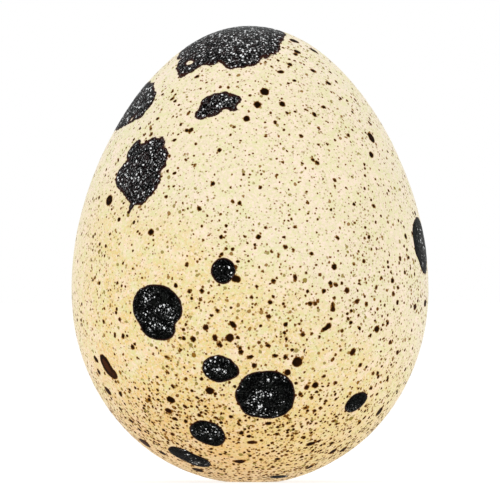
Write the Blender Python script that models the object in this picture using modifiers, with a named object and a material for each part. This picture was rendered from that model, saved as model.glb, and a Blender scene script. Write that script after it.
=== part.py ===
"""A quail egg standing on its blunt end.

Run it with blender --background --python part.py, or from Blender's text editor.
Units are metres and +Z is up. The origin is the middle of the small flat spot
that the egg stands on, and the egg's own axis is the Z axis.
"""

from math import acos, cos, sin, tau

import bpy

# Driving dimensions
EGG_LENGTH = 0.0333        # pole to pole, before the flat spot
EGG_BREADTH = 0.0260       # widest diameter
FLAT_SPOT_DEPTH = 0.0002   # how far the flat spot cuts into the blunt end

# Preston's egg outline: a half circle stretched to the egg's length and breadth,
# with its width changed by a cubic in the cosine of the angle from the pointed end.
POINTEDNESS = -0.154       # negative narrows the upper end and fills the lower one
BICONICITY = -0.024        # negative flattens both shoulders a little
SKEW = 0.030               # fills out the very tip and trims the very base

# How finely the outline is turned
RINGS = 32
SEGMENTS = 48
MERGE_DISTANCE = 0.000001

SHELL_COLOR = (0.82, 0.71, 0.46, 1.0)
SHELL_ROUGHNESS = 0.55

HALF_LENGTH = EGG_LENGTH / 2


def outline_width(angle):
    """Relative width of the egg at an angle from the pointed end."""
    rise = cos(angle)
    return sin(angle) * (1 + POINTEDNESS * rise + BICONICITY * rise ** 2 + SKEW * rise ** 3)


def outline():
    """Points down the egg's outer side: pointed end, flat spot's rim, flat spot's middle."""
    flat_height = FLAT_SPOT_DEPTH - HALF_LENGTH
    last_angle = acos(flat_height / HALF_LENGTH)
    angles = [last_angle * ring / RINGS for ring in range(RINGS + 1)]
    widest = max(outline_width(angle) for angle in angles)
    half_breadth = EGG_BREADTH / 2 / widest
    side = [
        (half_breadth * outline_width(angle), 0.0, HALF_LENGTH * cos(angle) - flat_height)
        for angle in angles
    ]
    return side + [(0.0, 0.0, 0.0)]


def make_shell_material():
    material = bpy.data.materials.new("egg_shell")
    material.use_nodes = True
    shader = material.node_tree.nodes["Principled BSDF"]
    shader.inputs["Base Color"].default_value = SHELL_COLOR
    shader.inputs["Roughness"].default_value = SHELL_ROUGHNESS
    shader.inputs["Metallic"].default_value = 0.0
    return material


def make_egg(collection):
    """The whole egg: its outline turned once about the Z axis."""
    points = outline()
    edges = [(index, index + 1) for index in range(len(points) - 1)]
    mesh = bpy.data.meshes.new("quail_egg")
    mesh.from_pydata(points, edges, [])
    mesh.materials.append(make_shell_material())
    egg = bpy.data.objects.new("quail_egg", mesh)
    collection.objects.link(egg)
    turn = egg.modifiers.new("turn", "SCREW")
    turn.axis = "Z"
    turn.angle = tau
    turn.steps = SEGMENTS
    turn.render_steps = SEGMENTS
    turn.use_merge_vertices = True
    turn.merge_threshold = MERGE_DISTANCE
    turn.use_smooth_shade = True
    return egg


def main():
    for old in list(bpy.data.objects):
        bpy.data.objects.remove(old, do_unlink=True)
    collection = bpy.data.collections.new("Quail egg")
    bpy.context.scene.collection.children.link(collection)
    make_egg(collection)


main()
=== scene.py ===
"""The look of the quail egg: its fine mesh, its speckled shell, a pale floor, soft light and the camera.

Metres and +Z up, in the CAD frame. The egg stands on its flat spot at the origin. Turns about its axis
are in degrees, 0 on the camera's side (-Y) and positive to the camera's right. The pattern's sizes are
in millimetres.
"""
from math import cos, pi, radians, sin
from random import Random

import bmesh
import bpy
import numpy as np
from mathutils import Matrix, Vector, noise


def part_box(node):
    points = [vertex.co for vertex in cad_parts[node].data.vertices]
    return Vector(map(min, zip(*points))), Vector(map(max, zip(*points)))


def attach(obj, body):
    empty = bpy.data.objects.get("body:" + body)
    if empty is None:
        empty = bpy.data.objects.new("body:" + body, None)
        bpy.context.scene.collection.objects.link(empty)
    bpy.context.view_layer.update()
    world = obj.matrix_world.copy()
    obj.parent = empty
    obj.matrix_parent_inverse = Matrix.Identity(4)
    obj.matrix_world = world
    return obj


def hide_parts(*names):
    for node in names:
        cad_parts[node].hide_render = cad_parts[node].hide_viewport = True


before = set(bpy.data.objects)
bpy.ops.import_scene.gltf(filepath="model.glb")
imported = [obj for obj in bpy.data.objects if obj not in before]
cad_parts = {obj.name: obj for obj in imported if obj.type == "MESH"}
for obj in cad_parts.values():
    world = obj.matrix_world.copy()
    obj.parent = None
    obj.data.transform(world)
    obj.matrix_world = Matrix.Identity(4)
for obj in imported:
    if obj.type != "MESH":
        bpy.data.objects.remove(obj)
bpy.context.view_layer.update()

MM = 0.001

# The egg's outline, as in the CAD: a half circle stretched to size, its width changed by a cubic.
POINTEDNESS = -0.154
BICONICITY = -0.024
SKEW = 0.030
FLAT_SPOT_DEPTH = 0.0002    # m
WIDTH_SAMPLES = 4001        # places where the outline's width is worked out, to find the widest
SLOPE_STEP = 0.01           # mm up and down the outline, to work out its slope

# The fine mesh and the relief on it. A bump's fineness is how often its noise changes in a millimetre.
CUTS_PER_EDGE = 127
RELIEF_ROOM = 0.05          # mm kept free inside the CAD surface, so that no bump passes it
UNDULATION = 0.030          # mm, broad unevenness of the shell
UNDULATION_FINENESS = 0.22
GRAIN = 0.010               # mm, fine unevenness of the shell
GRAIN_FINENESS = 1.3
GRAIN_FRACTAL = (1.0, 2.0, 3)   # exponent, lacunarity and octaves
PIGMENT_THICKNESS = 0.018   # mm
PIGMENT_SLOPE = 0.15        # mm from the edge of a blotch to its full thickness
PIGMENT_GRAIN = 0.012       # mm
PIGMENT_GRAIN_FINENESS = 3.1
BAKE_MAP_GAP = 0.02         # share of a cell of the map for baking that stays empty

# Thick dark blotches on the side seen from the front. Each has the height (mm) and turn (degrees) of
# its middle, and its lobes: offset to the right and up (mm), half width and half height (mm), and lean
# (degrees, anticlockwise). Lobes of one blotch melt together.
BLOTCHES = {
    "crown": (33.1, 0, [
        (-1.4, -2.0, 3.9, 3.6, 0),
        (-0.65, -5.0, 1.8, 1.75, 0),
        (-2.5, -4.05, 1.9, 1.7, 0),
        (-4.3, -4.1, 1.1, 1.5, 0),
        (1.05, -4.05, 1.15, 1.6, 0),
        (1.2, -1.5, 1.4, 1.7, 0),
        (-2.65, -5.4, 0.38, 0.4, 0),
    ]),
    "high_left_edge": (27.3, -78, [
        (-0.5, 0.05, 4.0, 2.15, 4),
    ]),
    "fish": (27.2, -16, [
        (-0.2, 0.2, 1.3, 0.9, 35),
        (-0.8, -0.55, 0.75, 0.5, 15),
        (0.95, 0.4, 0.65, 0.6, 0),
        (1.3, 0.8, 0.36, 0.22, -10),
        (1.35, -0.08, 0.34, 0.2, -25),
    ]),
    "left_shoulder": (22.5, -46, [
        (0.6, 0.8, 1.85, 1.65, 0),
        (0.55, -0.7, 1.85, 1.65, 0),
        (-1.2, -0.3, 1.15, 1.1, 0),
        (0.7, -1.5, 1.1, 1.0, 0),
        (-1.05, 1.6, 0.75, 0.85, 0),
        (0.95, 2.05, 0.8, 0.72, 0),
        (1.75, 1.1, 0.6, 0.65, 0),
        (0.25, -2.65, 0.24, 0.55, -15),
        (1.25, -2.2, 0.22, 0.25, 0),
    ]),
    "right_edge": (17.35, 78.3, [
        (0.3, 0.3, 2.4, 1.6, 0),
        (0.2, -0.5, 2.25, 1.2, 0),
        (0.05, -1.5, 1.3, 0.8, 0),
    ]),
    "round": (15.3, -8.6, [
        (0.0, 0.02, 0.89, 0.96, 0),
    ]),
    "boot": (12.4, -31.1, [
        (-0.15, 0.55, 1.95, 1.4, 0),
        (0.9, 0.1, 1.1, 1.1, 0),
        (-1.05, 0.1, 1.1, 1.2, 0),
        (-0.15, -1.05, 1.4, 1.05, 0),
        (0.5, -1.25, 0.85, 0.85, 0),
    ]),
    "drop": (8.2, -10.5, [
        (-0.07, 0.05, 1.24, 1.07, 0),
        (0.8, -0.15, 0.6, 0.52, 0),
    ]),
    "largest_low": (6.3, 5.5, [
        (0.35, 0.0, 1.87, 2.0, 0),
        (-0.4, 0.7, 1.45, 1.25, 0),
        (-1.15, 0.0, 1.0, 0.95, 0),
        (-0.6, -0.75, 1.15, 1.1, 0),
        (0.9, -0.7, 1.2, 1.15, 0),
    ]),
    "low_left": (3.65, -20, [
        (-0.1, -0.05, 1.3, 1.2, 0),
        (0.25, -0.35, 0.95, 1.15, 0),
    ]),
    "under_left": (1.85, -41, [
        (-0.4, 0.3, 1.15, 0.95, -20),
        (0.3, -0.6, 1.1, 0.95, -20),
    ]),
    "low_right": (5.8, 46, [
        (-0.05, 0.0, 1.0, 0.85, 28),
        (0.4, 0.25, 0.55, 0.5, 0),
    ]),
    "under_right": (0.35, 36, [
        (0.0, 0.0, 0.8, 0.4, 0),
    ]),
}

# Thinner brown spots, roughly from the top down: height (mm), turn (degrees), half width and half
# height (mm), and lean (degrees)
OVAL_SPOTS = [
    (32.0, 54.5, 0.4, 0.3, -25),
    (31.3, 67, 0.4, 0.26, -35),
    (31.2, 41.5, 0.28, 0.22, -25),
    (31.0, 37.5, 0.18, 0.15, -20),
    (30.25, 27.5, 0.2, 0.18, -25),
    (29.8, 43, 0.24, 0.16, -20),
    (29.7, 19, 0.24, 0.17, 0),
    (29.35, -32.5, 0.2, 0.16, 35),
    (28.9, 49, 0.24, 0.16, -45),
    (27.75, -42, 0.2, 0.13, 30),
    (27.8, 51.5, 0.16, 0.12, 50),
    (27.15, 37, 0.21, 0.14, -15),
    (26.95, 27, 0.18, 0.1, -20),
    (26.6, 30.5, 0.21, 0.17, -35),
    (26.7, -29, 0.1, 0.2, -25),
    (26.3, -45.5, 0.18, 0.1, 10),
    (26.0, 65.5, 0.22, 0.13, -45),
    (26.0, -49.5, 0.1, 0.15, -40),
    (25.6, -47, 0.1, 0.18, -25),
    (25.45, -25.5, 0.14, 0.24, -35),
    (25.15, -49.5, 0.18, 0.12, 40),
    (25.1, 45, 0.13, 0.17, -35),
    (24.95, 60, 0.36, 0.42, 0),
    (23.7, 54.5, 0.24, 0.25, -30),
    (23.3, -60.5, 0.12, 0.15, 0),
    (22.9, -21, 0.18, 0.12, 30),
    (20.4, -58, 0.42, 0.4, 0),
    (20.0, 47.5, 0.2, 0.13, 0),
    (18.5, 15, 0.17, 0.12, 0),
    (16.25, 63, 0.22, 0.12, 0),
    (15.55, -4.6, 0.17, 0.13, 20),
    (14.8, 14.5, 0.15, 0.31, 0),
    (14.75, -4.5, 0.36, 0.27, -20),
    (14.1, 44.5, 0.13, 0.16, -30),
    (13.85, -19.5, 0.2, 0.14, 20),
    (13.65, 53, 0.17, 0.2, 20),
    (13.4, 0.5, 0.12, 0.18, -30),
    (13.1, 36.5, 0.25, 0.15, 20),
    (12.95, 79, 0.5, 0.25, 0),
    (12.7, 67.5, 0.3, 0.22, 0),
    (12.55, 27.5, 0.22, 0.17, 0),
    (12.1, -12.5, 0.14, 0.1, 0),
    (11.45, -5.5, 0.32, 0.18, -45),
    (11.2, 25.5, 0.47, 0.15, 38),
    (10.65, -50.5, 0.13, 0.2, -20),
    (10.6, -46.5, 0.14, 0.22, -25),
    (10.5, -11.5, 0.19, 0.26, 0),
    (10.4, 12, 0.1, 0.18, -40),
    (9.95, 6, 0.2, 0.12, 0),
    (9.45, 37, 0.24, 0.3, -30),
    (9.2, 8.5, 0.22, 0.14, -20),
    (9.1, 0, 0.3, 0.13, 10),
    (9.1, -29.5, 0.2, 0.12, -20),
    (9.0, -41.5, 0.17, 0.09, 0),
    (8.9, -66.5, 0.35, 0.22, -30),
    (8.45, -59.8, 0.93, 0.6, -62),
    (8.0, -68, 0.25, 0.22, -40),
    (8.0, -30.5, 0.12, 0.18, -35),
    (7.9, 51.5, 0.16, 0.2, 30),
    (7.85, -57.3, 0.5, 0.42, 0),
    (7.5, -23.5, 0.12, 0.17, -35),
    (6.95, -29.5, 0.13, 0.17, 30),
    (6.65, -15, 0.33, 0.28, 0),
    (6.6, -67.5, 0.45, 0.3, -30),
    (6.4, -58, 0.2, 0.25, -40),
    (6.15, -20.5, 0.2, 0.11, -30),
    (6.0, -32, 0.36, 0.28, -20),
    (5.5, -26.5, 0.2, 0.15, -35),
    (5.4, 22.5, 0.2, 0.14, 20),
    (5.2, -35, 0.32, 0.22, -20),
    (5.1, 67, 0.35, 0.4, 30),
    (4.65, -14, 0.26, 0.14, -30),
    (4.6, -33.5, 0.28, 0.16, -20),
    (4.45, 38.5, 0.2, 0.13, 20),
    (4.4, -63, 0.25, 0.2, -30),
    (4.3, 8, 0.24, 0.16, 0),
    (4.3, 56, 0.16, 0.2, 30),
    (3.0, 37, 0.2, 0.12, 20),
    (2.9, 1, 0.4, 0.18, 0),
    (2.8, 33, 0.38, 0.22, 20),
    (2.8, -72, 0.7, 0.5, 0),
    (2.3, 66, 0.35, 0.3, 15),
    (2.2, 56, 0.3, 0.35, 20),
    (2.1, -63, 0.35, 0.3, 0),
    (1.5, -7, 0.4, 0.25, 0),
    (1.05, 54, 0.3, 0.35, 0),
    (0.85, -50, 0.5, 0.4, 0),
]

# The same, but round: height (mm), turn (degrees) and radius (mm)
ROUND_SPOTS = [
    (28.6, -16, 0.13),
    (28.55, -11.5, 0.12),
    (28.3, -44.5, 0.12),
    (28.25, 7.5, 0.33),
    (27.7, 64.5, 0.14),
    (27.35, 15.5, 0.23),
    (27.3, 3.5, 0.28),
    (26.7, 17, 0.13),
    (26.3, -1.5, 0.24),
    (26.0, 11, 0.15),
    (25.7, -7, 0.14),
    (25.6, 30.5, 0.14),
    (25.45, -27.5, 0.15),
    (25.15, -45.5, 0.17),
    (25.05, 6.5, 0.13),
    (25.05, 21.5, 0.15),
    (24.45, 32.5, 0.12),
    (24.0, -12, 0.16),
    (23.6, -32.5, 0.13),
    (23.1, 26, 0.18),
    (21.85, 32, 0.15),
    (20.65, -30.5, 0.14),
    (20.3, -6, 0.14),
    (19.8, -17.5, 0.17),
    (18.1, -34.5, 0.24),
    (17.8, 63, 0.2),
    (17.7, 30, 0.15),
    (17.05, 11.5, 0.17),
    (16.8, 14, 0.14),
    (16.7, 7, 0.13),
    (16.5, 9.2, 0.12),
    (16.2, 57.5, 0.17),
    (16.0, 39.5, 0.15),
    (15.8, 35.5, 0.12),
    (15.75, -20.5, 0.17),
    (15.6, 28, 0.22),
    (15.3, 4, 0.12),
    (15.2, 52, 0.13),
    (15.05, 23, 0.13),
    (14.8, 47, 0.13),
    (14.6, 52.5, 0.2),
    (14.55, 7.5, 0.18),
    (14.4, 26.5, 0.17),
    (14.3, 28.5, 0.17),
    (14.2, 2, 0.13),
    (14.1, 55.5, 0.15),
    (13.9, 32.5, 0.2),
    (13.85, -15.5, 0.18),
    (13.35, 28, 0.13),
    (13.25, -16, 0.14),
    (13.15, 22.2, 0.13),
    (13.05, 6.5, 0.18),
    (12.95, 19.5, 0.16),
    (12.95, 21.3, 0.15),
    (12.9, 27.5, 0.16),
    (12.9, 40.5, 0.16),
    (12.45, -10.5, 0.17),
    (12.0, 6, 0.18),
    (11.8, -47, 0.15),
    (11.35, 26.4, 0.2),
    (11.25, -14.5, 0.23),
    (11.1, 46, 0.26),
    (11.0, 31.5, 0.13),
    (10.75, 17.5, 0.17),
    (10.5, -6.6, 0.3),
    (10.4, -8.9, 0.13),
    (10.4, -19, 0.23),
    (10.15, 3, 0.14),
    (10.15, 54, 0.16),
    (10.0, -10, 0.2),
    (9.8, -43, 0.19),
    (9.45, -3, 0.19),
    (9.4, 60, 0.2),
    (9.3, -34.5, 0.12),
    (9.1, 12, 0.18),
    (8.95, 29.5, 0.13),
    (8.75, 16.3, 0.39),
    (8.5, 41.5, 0.17),
    (8.5, 1.5, 0.2),
    (8.0, 13.2, 0.24),
    (7.9, 49, 0.14),
    (7.8, -27, 0.12),
    (7.2, 32.5, 0.15),
    (7.05, 24.5, 0.25),
    (6.9, 21.2, 0.2),
    (6.4, 19.2, 0.18),
    (6.3, -28.5, 0.14),
    (6.0, -42.5, 0.17),
    (5.2, 27, 0.15),
    (4.9, -21.5, 0.17),
    (3.6, -4, 0.2),
    (3.5, -39.5, 0.18),
]

# Places inside blotches where the shell shows through, written like the oval spots
BARE_PATCHES = [
    (30.4, -45.5, 0.26, 0.22, 0),
    (26.4, -65.5, 0.1, 0.35, -35),
]

# The side that the front view hides has blotches and spots of the same kinds, placed by chance. A pair
# gives the least and the most, and a third number the most common.
HIDDEN_SEED = 11
HIDDEN_BLOTCHES = 9
HIDDEN_SPOTS = 150
HIDDEN_TURNS = (100, 260)
HIDDEN_HEIGHTS = (3, 30)
HIDDEN_LEANS = (-40, 40)
BLOTCH_SIZES = (0.7, 2.0)           # mm, half width of the middle lobe
BLOTCH_FLATNESS = (0.7, 1.0)        # half height over half width
BLOTCH_GAP = 1.5                    # mm between blotches, at the least
SIDE_LOBES = 3
SIDE_LOBE_PLACE = 0.7               # distance from the blotch's middle over the middle lobe's size
SIDE_LOBE_SIZES = (0.35, 0.7)       # over the middle lobe's size
SIDE_LOBE_FLATNESS = (0.7, 1.2)
MEAN_RADIUS = 11                    # mm, the egg's, which gives the length of a turn
SPOT_HEIGHTS = (1, 31, 9)           # mm
SPOT_SIZES = (0.11, 0.35, 0.13)     # mm, half width
SPOT_FLATNESS = (0.6, 1.2)

LOBE_MELT = 0.12       # mm over which neighbouring lobes melt together
SPOT_MELT = 0.04       # mm, the same for neighbouring spots
FAR_OUTSIDE = -2.0     # mm, the depth given to a place on the egg's other side
TINY = 1e-6            # keeps a division from being by zero


# ---------------------------------------------------------------------------------------------------
# The egg's outline

class Outline:
    """The egg's outline in millimetres, fitted to the CAD node's box."""

    def __init__(self, low, high):
        self.half_length = ((high.z - low.z) + FLAT_SPOT_DEPTH) / MM / 2
        self.centre_height = self.half_length - FLAT_SPOT_DEPTH / MM
        rises = np.linspace(-1, 1, WIDTH_SAMPLES)
        widest = self.relative_width(rises).max()
        self.half_breadth = (high.x - low.x) / MM / 2 / widest

    def relative_width(self, rise):
        around = np.sqrt(np.maximum(0, 1 - rise ** 2))
        return around * self.fullness(rise)

    def fullness(self, rise):
        return 1 + POINTEDNESS * rise + BICONICITY * rise ** 2 + SKEW * rise ** 3

    def radius(self, height):
        rise = np.clip((height - self.centre_height) / self.half_length, -1, 1)
        return self.half_breadth * self.relative_width(rise)

    def surface(self, directions):
        """Points on the egg for unit vectors from its middle."""
        width = self.half_breadth * self.fullness(directions[:, 2])
        points = directions * width[:, None]
        points[:, 2] = directions[:, 2] * self.half_length + self.centre_height
        return points

    def tangent_frame(self, height, turn):
        """A point on the egg with the unit vectors to the right, up the egg, and outwards."""
        angle = radians(turn)
        rise = self.radius(height + SLOPE_STEP) - self.radius(height - SLOPE_STEP)
        rate = rise / (2 * SLOPE_STEP)
        outwards = np.array([sin(angle), -cos(angle), -rate])
        outwards /= np.linalg.norm(outwards)
        right = np.array([cos(angle), sin(angle), 0.0])
        radius = self.radius(height)
        point = np.array([radius * sin(angle), -radius * cos(angle), height])
        return point, right, np.cross(outwards, right), outwards


# ---------------------------------------------------------------------------------------------------
# The pattern of blotches and spots, as a depth inside them at each point of the mesh

def lobe_depth(outline, points, height, turn, lobe):
    """How far inside one oval lobe each point lies, in mm, negative outside."""
    across, up, half_width, half_height, lean = lobe
    middle, right, upwards, outwards = outline.tangent_frame(height, turn)
    offset = points - middle
    x = offset @ right - across
    y = offset @ upwards - up
    angle = radians(lean)
    along = (x * cos(angle) + y * sin(angle)) / half_width
    beside = (y * cos(angle) - x * sin(angle)) / half_height
    reach = np.hypot(along, beside)
    steepness = np.hypot(along / half_width, beside / half_height)
    depth = reach * (1 - reach) / np.maximum(steepness, TINY)
    behind = offset @ outwards < -outline.half_breadth / 2
    return np.where(behind, FAR_OUTSIDE, depth)


def melted(depths, melt):
    """The depth inside any of the shapes, with their joints rounded."""
    total = depths[0] / melt
    for depth in depths[1:]:
        total = np.logaddexp(total, depth / melt)
    return total * melt


def hidden_blotch(random, size):
    """The lobes of one blotch: a large one in the middle, with smaller ones round it."""
    lobes = [(0, 0, size, size * random.uniform(*BLOTCH_FLATNESS), random.uniform(*HIDDEN_LEANS))]
    for _ in range(SIDE_LOBES):
        direction = random.uniform(0, 2 * pi)
        part = size * random.uniform(*SIDE_LOBE_SIZES)
        distance = SIDE_LOBE_PLACE * size
        lobes.append((
            distance * cos(direction), distance * sin(direction),
            part, part * random.uniform(*SIDE_LOBE_FLATNESS), random.uniform(*HIDDEN_LEANS),
        ))
    return lobes


def hidden_pattern(random):
    """Blotches and spots for the side that the front view hides."""
    blotches = []
    taken = []
    while len(blotches) < HIDDEN_BLOTCHES:
        height = random.uniform(*HIDDEN_HEIGHTS)
        turn = random.uniform(*HIDDEN_TURNS)
        size = random.uniform(*BLOTCH_SIZES)
        place = np.array([height, radians(turn) * MEAN_RADIUS])
        too_near = any(
            np.linalg.norm(place - other) < size + other_size + BLOTCH_GAP
            for other, other_size in taken
        )
        if too_near:
            continue
        taken.append((place, size))
        blotches.append((height, turn, hidden_blotch(random, size)))
    spots = []
    for _ in range(HIDDEN_SPOTS):
        size = random.triangular(*SPOT_SIZES)
        spots.append((
            random.triangular(*SPOT_HEIGHTS), random.uniform(*HIDDEN_TURNS),
            size, size * random.uniform(*SPOT_FLATNESS), random.uniform(*HIDDEN_LEANS),
        ))
    return blotches, spots


def pattern_depths(outline, points):
    """How far inside the blotches and inside the spots each point lies, in mm, negative outside."""
    hidden_blotches, hidden_spots = hidden_pattern(Random(HIDDEN_SEED))
    in_blotches = melted([
        lobe_depth(outline, points, height, turn, lobe)
        for height, turn, lobes in list(BLOTCHES.values()) + hidden_blotches
        for lobe in lobes
    ], LOBE_MELT)
    for height, turn, *size in BARE_PATCHES:
        bare = lobe_depth(outline, points, height, turn, (0, 0, *size))
        in_blotches = np.minimum(in_blotches, -bare)
    round_spots = [(height, turn, radius, radius, 0) for height, turn, radius in ROUND_SPOTS]
    in_spots = melted([
        lobe_depth(outline, points, height, turn, (0, 0, *size))
        for height, turn, *size in OVAL_SPOTS + round_spots + hidden_spots
    ], SPOT_MELT)
    return in_blotches, in_spots


# ---------------------------------------------------------------------------------------------------
# The egg's mesh

def relief(points, in_blotches, in_spots):
    """Height of the surface over the smooth egg at each point, in mm."""
    heights = np.empty(len(points))
    for index, point in enumerate(points):
        place = Vector(point)
        broad = noise.noise(place * UNDULATION_FINENESS)
        fine = noise.fractal(place * GRAIN_FINENESS, *GRAIN_FRACTAL)
        heights[index] = UNDULATION * broad + GRAIN * fine
        if in_blotches[index] > 0:
            heights[index] += PIGMENT_GRAIN * noise.noise(place * PIGMENT_GRAIN_FINENESS)
    thick = np.clip(in_blotches / PIGMENT_SLOPE, 0, 1)
    thin = np.clip(in_spots / PIGMENT_SLOPE, 0, 1)
    return heights + PIGMENT_THICKNESS * np.maximum(thick, thin / 2)


def add_bake_map(mesh, cube_points):
    """A map for baking: each side of the cube that the mesh grew from fills one cell of a 3 by 2 grid."""
    corner = np.empty(len(mesh.loops), np.int32)
    mesh.loops.foreach_get("vertex_index", corner)
    sides = cube_points[corner].reshape(-1, 4, 3)
    axis = np.abs(sides.mean(axis=1)).argmax(axis=1)
    face = np.arange(len(axis))
    sign = np.sign(sides.mean(axis=1)[face, axis])
    u = sides[face, :, (axis + 1) % 3] * sign[:, None] * (1 - BAKE_MAP_GAP)
    v = sides[face, :, (axis + 2) % 3] * (1 - BAKE_MAP_GAP)
    row = (sign > 0).astype(float)
    places = np.stack([
        (axis[:, None] + 0.5 + 0.5 * u) / 3,
        (row[:, None] + 0.5 + 0.5 * v) / 2,
    ], axis=-1)
    layer = mesh.uv_layers.new(name="OFBake")
    layer.data.foreach_set("uv", places.astype(np.float32).ravel())


def make_egg(material):
    low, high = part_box("quail_egg")
    outline = Outline(low, high)

    form = bmesh.new()
    bmesh.ops.create_cube(form, size=2)
    bmesh.ops.subdivide_edges(form, edges=form.edges[:], cuts=CUTS_PER_EDGE, use_grid_fill=True)
    mesh = bpy.data.meshes.new("quail_egg_shell")
    form.to_mesh(mesh)
    form.free()

    cube_points = np.empty(len(mesh.vertices) * 3, np.float32)
    mesh.vertices.foreach_get("co", cube_points)
    cube_points = cube_points.reshape(-1, 3).astype(float)
    add_bake_map(mesh, cube_points)

    # The tangent spaces the cube's points more evenly once they are moved out to the egg.
    directions = np.tan(cube_points * pi / 4)
    directions /= np.linalg.norm(directions, axis=1)[:, None]
    points = outline.surface(directions)
    in_blotches, in_spots = pattern_depths(outline, points)

    outwards = directions / [outline.half_breadth, outline.half_breadth, outline.half_length]
    outwards /= np.linalg.norm(outwards, axis=1)[:, None]
    points += outwards * (relief(points, in_blotches, in_spots) - RELIEF_ROOM)[:, None]
    points[:, 2] = np.maximum(points[:, 2], 0)  # the flat spot

    mesh.vertices.foreach_set("co", (points * MM).astype(np.float32).ravel())
    for name, depth in (("blotch_depth", in_blotches), ("spot_depth", in_spots)):
        layer = mesh.attributes.new(name, "FLOAT", "POINT")
        layer.data.foreach_set("value", depth.astype(np.float32))
    mesh.materials.append(material)
    mesh.shade_smooth()
    mesh.update()
    egg = bpy.data.objects.new("quail_egg_shell", mesh)
    bpy.context.scene.collection.objects.link(egg)
    return egg


# ---------------------------------------------------------------------------------------------------
# Materials

class Nodes:
    """Short calls that add nodes to a material and return their output sockets."""

    def __init__(self, material):
        material.use_nodes = True
        self.tree = material.node_tree
        self.shader = self.tree.nodes["Principled BSDF"]

    def add(self, kind, **settings):
        node = self.tree.nodes.new(kind)
        for name, value in settings.items():
            setattr(node, name, value)
        return node

    def feed(self, socket, value):
        if isinstance(value, bpy.types.NodeSocket):
            self.tree.links.new(value, socket)
        else:
            socket.default_value = value

    def math(self, operation, first, second=0.0, third=0.0):
        node = self.add("ShaderNodeMath", operation=operation)
        for socket, value in zip(node.inputs, (first, second, third)):
            self.feed(socket, value)
        return node.outputs[0]

    def scaled(self, vector, factor):
        node = self.add("ShaderNodeVectorMath", operation="SCALE")
        self.feed(node.inputs[0], vector)
        self.feed(node.inputs["Scale"], factor)
        return node.outputs[0]

    def added(self, first, second):
        node = self.add("ShaderNodeVectorMath", operation="ADD")
        self.feed(node.inputs[0], first)
        self.feed(node.inputs[1], second)
        return node.outputs[0]

    def smooth(self, value, start, end, low=0.0, high=1.0):
        """Runs smoothly from low to high as the value goes from start to end."""
        node = self.add("ShaderNodeMapRange", interpolation_type="SMOOTHSTEP")
        for socket, item in zip(node.inputs, (value, start, end, low, high)):
            self.feed(socket, item)
        return node.outputs[0]

    def noise(self, place, scale, detail=2.0, roughness=0.5):
        node = self.add("ShaderNodeTexNoise")
        self.feed(node.inputs["Vector"], place)
        node.inputs["Scale"].default_value = scale
        node.inputs["Detail"].default_value = detail
        node.inputs["Roughness"].default_value = roughness
        return node.outputs[0]

    def wander(self, place, scale, amount):
        """The place moved about by a noise, to make round shapes uneven."""
        node = self.add("ShaderNodeTexNoise")
        self.feed(node.inputs["Vector"], place)
        node.inputs["Scale"].default_value = scale
        centred = self.added(node.outputs["Color"], (-0.5, -0.5, -0.5))
        return self.added(place, self.scaled(centred, amount))

    def cells(self, place, scale):
        """Distance to the nearest cell's middle, in mm, and three random values for that cell."""
        node = self.add("ShaderNodeTexVoronoi")
        self.feed(node.inputs["Vector"], place)
        node.inputs["Scale"].default_value = scale
        split = self.add("ShaderNodeSeparateColor")
        self.feed(split.inputs[0], node.outputs["Color"])
        return self.math("DIVIDE", node.outputs["Distance"], scale), split.outputs

    def mix(self, factor, first, second):
        node = self.add("ShaderNodeMix", data_type="RGBA")
        self.feed(node.inputs["Factor"], factor)
        self.feed(node.inputs["A"], first)
        self.feed(node.inputs["B"], second)
        return node.outputs["Result"]

    def ramp(self, value, stops):
        node = self.add("ShaderNodeValToRGB")
        self.feed(node.inputs[0], value)
        elements = node.color_ramp.elements
        while len(elements) < len(stops):
            elements.new(0.5)
        for element, (position, color) in zip(elements, stops):
            element.position = position
            element.color = (*color, 1.0)
        return node.outputs[0]


# Heights and distances are in mm, and a noise's or cell pattern's scale is how often it repeats in a mm.

# Shell colours from the blunt end (0) to the pointed end (1). The darker, yellower blunt end is partly the
# shell's own tan and partly painted shade low on the egg.
SHELL_COLORS = [
    (0.00, (0.82, 0.49, 0.16)),
    (0.15, (0.84, 0.58, 0.20)),
    (0.40, (0.84, 0.65, 0.30)),
    (0.56, (0.86, 0.745, 0.54)),
    (1.00, (0.88, 0.76, 0.54)),
]
COLORED_HEIGHT = 33.0  # the height that those colours are spread over
STRAYING = 3.0         # how far up or down the colours stray
RIGHT_SHEEN_SHIFT = 0.55      # how much further up the colours are taken from for each mm to the right: a painted sheen that makes the right side paler

PALE_MOTTLE = (1.00, 0.80, 0.68, 1.0)
GREEN_MOTTLE = (0.75, 0.75, 0.38, 1.0)
# painted sheen: pale cream mixed into the shell along its left and right sides
LIMB_SHEEN_CREAM = (0.90, 0.85, 0.75, 1.0)
PORE_TAN = (0.42, 0.34, 0.18, 1.0)
MOTTLES = [            # scale and strength
    (0.8, 0.45),
    (2.5, 0.35),
    (5.5, 0.6),
]
MOTTLE_EDGES = (0.48, 0.66)          # noise where a mottle starts and where it is full
GREEN_PLACE = (40.0, 0.0, 0.0)       # moves the green mottles' noise away from the pale ones'

# Pigment colours
SPOT_BROWN = (0.009, 0.0035, 0.0010, 1.0)
SPOT_RUSSET = (0.060, 0.016, 0.005, 1.0)
SPOT_EDGE = (0.27, 0.105, 0.011, 1.0)
SPECK_BROWN = (0.27, 0.125, 0.015, 1.0)
SPECK_OLIVE = (0.30, 0.22, 0.05, 1.0)
RIM_BROWN = (0.035, 0.009, 0.006, 1.0)
BLOTCH_BLACK = (0.0004, 0.0004, 0.0004, 1.0)
BLOTCH_GREY = (0.006, 0.007, 0.006, 1.0)
BLOTCH_PLUM = (0.018, 0.007, 0.007, 1.0)
# painted sheen: grey laid over the black of the crown
CROWN_SHEEN_GREY = (0.10, 0.11, 0.11, 1.0)
# painted highlight: the colour of the glints
GLINT_WHITE = (0.90, 0.92, 0.92, 1.0)

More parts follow.
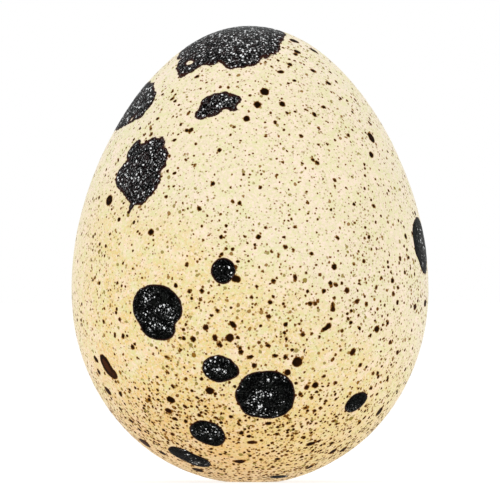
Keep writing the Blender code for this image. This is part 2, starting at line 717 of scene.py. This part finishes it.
# Surface
SHELL_SPECULAR = 0.01
SHEEN = 0.04
SHEEN_ROUGHNESS = 0.2
LEAST_ROUGHNESS = 0.42
ROUGHNESS_SPREAD = 0.16
BLOTCH_SMOOTHNESS = 0.08    # how much less rough a blotch is
SHELL_BUMP = 0.012
CRUST_BUMP = 0.05
BLOTCH_STEP = 0.01          # height of a blotch's edge

# Speckle sizes: cells per mm, radius of the largest (mm), the share of cells that hold a speckle near
# the blunt end and near the pointed end, the share of the speckles that are dark, and how fully the
# others cover the shell
SPECKLES = {
    "dust": (4.8, 0.070, 0.65, 0.65, 0.00, 0.5),
    "small": (3.6, 0.100, 0.90, 0.65, 0.25, 0.7),
    "middle": (2.4, 0.155, 0.90, 0.60, 0.60, 0.9),
    "low": (2.9, 0.166, 1.20, -7.00, 0.85, 1.0),
    "large": (1.5, 0.210, 0.80, 0.05, 0.85, 1.0),
}
SPECKLE_HEIGHTS = (2.0, 27.0)        # from the one share of cells to the other
SMALLEST_SPECKLE = 0.5               # radius of the smallest over that of the largest
SPECKLE_EDGE = 0.04                  # width of a speckle's soft edge
SPECKLE_FRINGE = 0.08                # brown round the middle of a dark speckle

SPOT_FRINGE = 0.09                   # brown round the middle of a spot
FRAYING = 0.18                       # how much a spot's edge strays in all
INWARD_FRAYING = 0.06                # how much of that is inwards
EDGE_BLUR = 0.03                     # on each side of a spot's or a blotch's edge

UPPER_KIND = (18.5, 21.0)            # heights where blotches turn from the lower kind to the upper one
UPPER_RIM = 0.10                     # how much wider their rims get there
LOWER_RIM = (0.04, 0.14)             # where a lower blotch's rim starts to darken, and where it ends
RAGGED_EDGE = 0.2                    # how far a lower blotch's edge strays
UPPER_RAGGED_EDGE = 0.45             # and how much further an upper one's does
CROWN_SHEEN_HEIGHTS = (32.3, 33.1)         # where the painted sheen, grey over the black on the crown, starts and where it is full
CROWN_SHEEN = 0.35                         # how fully it covers the black

# Glints, painted as pale colour in place of highlights: round dots in cells, short streaks, and a very
# fine grain
GLINT_CELLS = 6.0
GLINT_RADIUS = 0.035                 # the smallest glint's
GLINT_RADIUS_SPREAD = 0.06
GLINT_EDGE = 0.01                    # on each side of a glint's edge
DIMMEST_GLINT = 0.12
PATCH_PLACE = (13.0, 0.0, 0.0)       # moves the glint patches' noise away from the others
UPPER_GLINTS = 0.45                  # the share of glints kept everywhere in an upper blotch
STREAK_STRENGTH = 0.9
FINE_STRENGTH = 0.05                 # of the very fine grain of painted glints, in an upper blotch
FINE_BELOW = 0.2                     # how much of that a lower blotch has


def make_shell_material():
    material = bpy.data.materials.new("speckled_shell")
    nodes = Nodes(material)
    shader = nodes.shader
    shader.inputs["Specular IOR Level"].default_value = SHELL_SPECULAR
    shader.inputs["Sheen Weight"].default_value = SHEEN
    shader.inputs["Sheen Roughness"].default_value = SHEEN_ROUGHNESS
    place = nodes.scaled(nodes.add("ShaderNodeTexCoord").outputs["Object"], 1 / MM)
    split = nodes.add("ShaderNodeSeparateXYZ")
    nodes.feed(split.inputs[0], place)
    height = split.outputs["Z"]

    color = shell_color(nodes, place, split)
    color = speckled(nodes, place, height, color)
    color = spotted(nodes, place, height, color)
    color, blotch, core = blotched(nodes, place, height, color)
    nodes.feed(shader.inputs["Base Color"], color)

    roughness = nodes.noise(place, scale=1.1)
    roughness = nodes.math("MULTIPLY_ADD", roughness, ROUGHNESS_SPREAD, LEAST_ROUGHNESS)
    roughness = nodes.math("SUBTRACT", roughness, nodes.math("MULTIPLY", blotch, BLOTCH_SMOOTHNESS))
    nodes.feed(shader.inputs["Roughness"], roughness)
    nodes.feed(shader.inputs["Normal"], surface_bump(nodes, place, blotch, core))
    return material


def shell_color(nodes, place, split):
    """Cream with pinkish and green mottles. It is darker and yellower towards the blunt end, partly
    painted shade, and paler along the sides and towards the right, a painted sheen.
    """
    height = split.outputs["Z"]
    uneven = nodes.math("MULTIPLY_ADD", nodes.noise(place, scale=0.18), 2 * STRAYING, -STRAYING)
    # Painted sheen: towards the right the colours are taken from further up the ramp, so they are paler.
    level = nodes.math("MULTIPLY_ADD", split.outputs["X"], RIGHT_SHEEN_SHIFT, height)
    share = nodes.math("DIVIDE", nodes.math("ADD", level, uneven), COLORED_HEIGHT)
    shell = nodes.ramp(share, SHELL_COLORS)

    # Painted sheen: the shell turns pale cream along its left and right sides, where the limbs catch the
    # bright surroundings.
    limb_sheen = nodes.smooth(nodes.math("ABSOLUTE", split.outputs["Y"]), start=0.0, end=9.0, low=0.7, high=0.0)
    limb_sheen = nodes.math("MULTIPLY", limb_sheen, nodes.smooth(height, start=2.0, end=16.0, low=0.4, high=1.0))
    shell = nodes.mix(limb_sheen, shell, LIMB_SHEEN_CREAM)

    pores = nodes.noise(place, scale=5.0, detail=2.0, roughness=0.7)
    pores = nodes.smooth(pores, start=0.35, end=0.60, low=0.14, high=0.0)
    shell = nodes.mix(pores, shell, PORE_TAN)

    green_place = nodes.added(place, GREEN_PLACE)
    fading = nodes.smooth(height, start=1.0, end=10.0, low=0.4, high=1.0)
    for scale, most in MOTTLES:
        pale = nodes.smooth(nodes.noise(place, scale), *MOTTLE_EDGES, high=most)
        shell = nodes.mix(nodes.math("MULTIPLY", pale, fading), shell, PALE_MOTTLE)
        green = nodes.smooth(nodes.noise(green_place, scale), *MOTTLE_EDGES, high=most)
        shell = nodes.mix(nodes.math("MULTIPLY", green, fading), shell, GREEN_MOTTLE)
    return shell


def speckled(nodes, place, height, color):
    """The shell with its speckles, from the faintest to the darkest."""
    clusters = nodes.noise(place, scale=0.25, detail=3.0)
    clusters = nodes.smooth(clusters, start=0.35, end=0.65, low=0.6, high=1.3)
    uneven = nodes.wander(place, scale=2.5, amount=0.22)
    for name in SPECKLES:
        color = speckle_layer(nodes, uneven, height, clusters, color, name)
    return color


def speckle_layer(nodes, place, height, clusters, color, name):
    """The colour with the speckles of one size over it."""
    scale, radius, low_share, high_share, dark, cover = SPECKLES[name]
    distance, chance = nodes.cells(place, scale)
    smallest = SMALLEST_SPECKLE * radius
    mostly_small = nodes.math("POWER", chance[0], 2.0)
    size = nodes.math("MULTIPLY_ADD", mostly_small, radius - smallest, smallest)
    inside = nodes.math("SUBTRACT", size, distance)
    spot = nodes.smooth(inside, -SPECKLE_EDGE / 2, SPECKLE_EDGE / 2)
    share = nodes.math("MULTIPLY", nodes.smooth(height, *SPECKLE_HEIGHTS, low_share, high_share), clusters)
    spot = nodes.math("MULTIPLY", spot, nodes.math("LESS_THAN", chance[1], share))
    is_dark = nodes.math("LESS_THAN", chance[2], dark)
    is_olive = nodes.math("GREATER_THAN", chance[2], (1 + dark) / 2)
    faint = nodes.mix(is_olive, SPECK_BROWN, SPECK_OLIVE)
    core = nodes.mix(nodes.smooth(inside, 0.0, SPECKLE_FRINGE), SPOT_EDGE, SPOT_BROWN)
    tone = nodes.mix(is_dark, nodes.mix(cover, color, faint), core)
    return nodes.mix(spot, color, tone)


def spotted(nodes, place, height, color):
    """The thinner spots that the mesh carries: near black or russet, with a brown fringe."""
    layer = nodes.add("ShaderNodeAttribute", attribute_name="spot_depth")
    frayed = nodes.math("MULTIPLY_ADD", nodes.noise(place, scale=4.0), FRAYING, -INWARD_FRAYING)
    depth = nodes.math("ADD", layer.outputs["Fac"], frayed)
    patchy = nodes.smooth(nodes.noise(place, scale=0.6), start=0.40, end=0.60, low=0.1, high=1.0)
    low_down = nodes.smooth(height, start=14.0, end=22.0, low=0.35, high=0.0)
    far_inside = nodes.smooth(depth, start=0.25, end=0.45, low=0.0, high=0.9)
    russet = nodes.math("MAXIMUM", nodes.math("MULTIPLY", patchy, low_down), far_inside)
    middle = nodes.mix(russet, SPOT_BROWN, SPOT_RUSSET)
    core = nodes.mix(nodes.smooth(depth, 0.0, SPOT_FRINGE), SPOT_EDGE, middle)
    return nodes.mix(nodes.smooth(depth, -EDGE_BLUR, EDGE_BLUR), color, core)


def blotched(nodes, place, height, color):
    """The thick blotches that the mesh carries: a red-brown rim, a black middle with a painted grey sheen
    high on the crown, and painted glints.
    """
    layer = nodes.add("ShaderNodeAttribute", attribute_name="blotch_depth")
    upper = nodes.smooth(height, *UPPER_KIND)
    uneven = nodes.math("SUBTRACT", nodes.noise(place, scale=1.5, detail=3.0, roughness=0.55), 0.5)
    straying = nodes.math("MULTIPLY_ADD", upper, UPPER_RAGGED_EDGE, RAGGED_EDGE)
    depth = nodes.math("ADD", layer.outputs["Fac"], nodes.math("MULTIPLY", uneven, straying))
    blotch = nodes.smooth(depth, -EDGE_BLUR, EDGE_BLUR)
    rim_start, rim_end = LOWER_RIM
    core = nodes.smooth(depth, rim_start, nodes.math("MULTIPLY_ADD", upper, UPPER_RIM, rim_end))

    clouds = nodes.noise(place, scale=2.5, detail=4.0, roughness=0.7)
    clouds = nodes.smooth(clouds, start=0.45, end=0.70)
    middle = nodes.mix(clouds, BLOTCH_BLACK, nodes.mix(upper, BLOTCH_GREY, BLOTCH_PLUM))
    # Painted sheen: grey mixed over the black high on the crown.
    middle = nodes.mix(nodes.smooth(height, *CROWN_SHEEN_HEIGHTS, high=CROWN_SHEEN), middle, CROWN_SHEEN_GREY)
    pigment = nodes.mix(core, RIM_BROWN, middle)
    # Painted glints: pale highlight colour mixed into the pigment.
    pigment = nodes.mix(glints(nodes, place, upper, depth, core), pigment, GLINT_WHITE)
    return nodes.mix(blotch, color, pigment), blotch, core


def glints(nodes, place, upper, depth, core):
    """Painted glints: small pale dots and short streaks of painted highlight in the blotches, more of them
    high on the egg.
    """
    patches = nodes.noise(nodes.added(place, PATCH_PLACE), scale=0.9, detail=3.0)
    patches = nodes.smooth(patches, start=0.44, end=0.64, low=0.03, high=0.75)
    patches = nodes.math("MULTIPLY", patches, nodes.smooth(depth, start=0.1, end=1.2, low=0.35, high=1.2))
    share = nodes.math("MAXIMUM", patches, nodes.math("MULTIPLY", upper, UPPER_GLINTS))

    uneven = nodes.wander(place, scale=5.0, amount=0.2)
    distance, chance = nodes.cells(uneven, GLINT_CELLS)
    mostly_small = nodes.math("POWER", chance[0], 3.0)
    size = nodes.math("MULTIPLY_ADD", mostly_small, GLINT_RADIUS_SPREAD, GLINT_RADIUS)
    glint_dots = nodes.smooth(nodes.math("SUBTRACT", size, distance), -GLINT_EDGE, GLINT_EDGE)
    glint_dots = nodes.math("MULTIPLY", glint_dots, nodes.math("LESS_THAN", chance[1], share))
    brightness = nodes.math("ADD", nodes.math("POWER", chance[0], 2.0), DIMMEST_GLINT)
    glint_dots = nodes.math("MULTIPLY", glint_dots, brightness)

    streaks = nodes.noise(uneven, scale=7.0, detail=1.0)
    streaks = nodes.smooth(streaks, start=0.61, end=0.72, high=STREAK_STRENGTH)
    streaks = nodes.math("MULTIPLY", streaks, share)

    fine = nodes.noise(place, scale=10.0, detail=0.0)
    fine = nodes.smooth(fine, start=0.56, end=0.68, high=FINE_STRENGTH)
    fine = nodes.math("MULTIPLY", fine, nodes.math("MULTIPLY_ADD", upper, 1 - FINE_BELOW, FINE_BELOW))
    pale = nodes.math("MAXIMUM", nodes.math("MAXIMUM", glint_dots, streaks), fine)
    return nodes.math("MULTIPLY", pale, core)


def surface_bump(nodes, place, blotch, core):
    """Fine grain of the shell, and the raised, crusty pigment."""
    grain = nodes.math("MULTIPLY", nodes.noise(place, scale=3.5, detail=3.0), SHELL_BUMP)
    crust = nodes.noise(place, scale=5.0, detail=3.0)
    crust = nodes.math("MULTIPLY", crust, nodes.math("MULTIPLY", core, CRUST_BUMP))
    height = nodes.math("ADD", grain, crust)
    height = nodes.math("ADD", height, nodes.math("MULTIPLY", blotch, BLOTCH_STEP))
    bump = nodes.add("ShaderNodeBump")
    bump.inputs["Strength"].default_value = 1.0
    bump.inputs["Distance"].default_value = MM
    nodes.feed(bump.inputs["Height"], height)
    return bump.outputs[0]


def make_floor_material():
    """A plain white that glows a little, so that it meets the white surroundings without an edge."""
    material = bpy.data.materials.new("pale_floor")
    material.use_nodes = True
    shader = material.node_tree.nodes["Principled BSDF"]
    shader.inputs["Base Color"].default_value = FLOOR_GREY
    shader.inputs["Roughness"].default_value = FLOOR_ROUGHNESS
    shader.inputs["Specular IOR Level"].default_value = 0.0
    shader.inputs["Emission Color"].default_value = WHITE
    shader.inputs["Emission Strength"].default_value = FLOOR_GLOW
    return material


# ---------------------------------------------------------------------------------------------------
# Floor, light and camera

WHITE = (1.0, 1.0, 1.0, 1.0)
BACKDROP = 1.0              # how bright the surroundings look
ROOM_LIGHT = 0.85           # how much light they give
FLOOR_SIZE = 8.0            # m
FLOOR_GREY = (0.35, 0.35, 0.35, 1.0)
FLOOR_ROUGHNESS = 0.9
FLOOR_GLOW = 0.76
SOFTBOX_DISTANCE = 0.35     # m from the egg's middle
SOFTBOX_SIZE = 0.06         # m
SOFTBOXES = [               # name, turn and elevation (degrees), power (W)
    ("left_softbox", -50, 42, 0.15),
    ("right_softbox", 50, 40, 0.12),
    ("back_softbox", 180, 50, 0.12),
]

# A long lens far off, about level with the egg's middle
LENS = 1200.0               # mm
SENSOR_WIDTH = 36.0         # mm
CAMERA_DISTANCE = 1.209     # m
CAMERA_LIFT = 0.00026       # m over the egg's middle


def make_floor(low):
    bpy.ops.mesh.primitive_plane_add(size=FLOOR_SIZE, location=(0, 0, low.z))
    floor = bpy.context.object
    floor.name = "floor"
    floor.data.materials.append(make_floor_material())
    return floor


def add_softbox(name, turn, elevation, power, target):
    """A square soft light at a turn about the egg and an elevation over it, aimed at the target."""
    data = bpy.data.lights.new(name, "AREA")
    data.size = SOFTBOX_SIZE
    data.energy = power
    light = bpy.data.objects.new(name, data)
    bpy.context.scene.collection.objects.link(light)
    level = cos(radians(elevation)) * SOFTBOX_DISTANCE
    rise = sin(radians(elevation)) * SOFTBOX_DISTANCE
    away = Vector((level * sin(radians(turn)), -level * cos(radians(turn)), rise))
    light.location = target + away
    light.rotation_euler = (-away).to_track_quat("-Z", "Y").to_euler()


def set_world():
    """White behind the egg, and a slightly dimmer white light from all round."""
    world = bpy.data.worlds.new("studio")
    world.use_nodes = True
    tree = world.node_tree
    background = tree.nodes["Background"]
    background.inputs["Color"].default_value = WHITE
    seen = tree.nodes.new("ShaderNodeLightPath").outputs["Is Camera Ray"]
    strength = tree.nodes.new("ShaderNodeMapRange")
    strength.inputs["To Min"].default_value = ROOM_LIGHT
    strength.inputs["To Max"].default_value = BACKDROP
    tree.links.new(seen, strength.inputs["Value"])
    tree.links.new(strength.outputs[0], background.inputs["Strength"])
    bpy.context.scene.world = world


def make_camera(middle):
    data = bpy.data.cameras.new("camera")
    data.lens = LENS
    data.sensor_width = SENSOR_WIDTH
    camera = bpy.data.objects.new("camera", data)
    bpy.context.scene.collection.objects.link(camera)
    camera.location = (0.0, -CAMERA_DISTANCE, middle.z + CAMERA_LIFT)
    camera.rotation_euler = (pi / 2, 0, 0)
    bpy.context.scene.camera = camera


def main():
    low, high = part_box("quail_egg")
    middle = (low + high) / 2
    make_camera(middle)
    set_world()
    for name, turn, elevation, power in SOFTBOXES:
        add_softbox(name, turn, elevation, power, middle)

    floor = make_floor(low)

    egg = make_egg(make_shell_material())
    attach(egg, "root")
    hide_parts("quail_egg")
    bpy.context.scene.view_settings.view_transform = "Standard"


main()
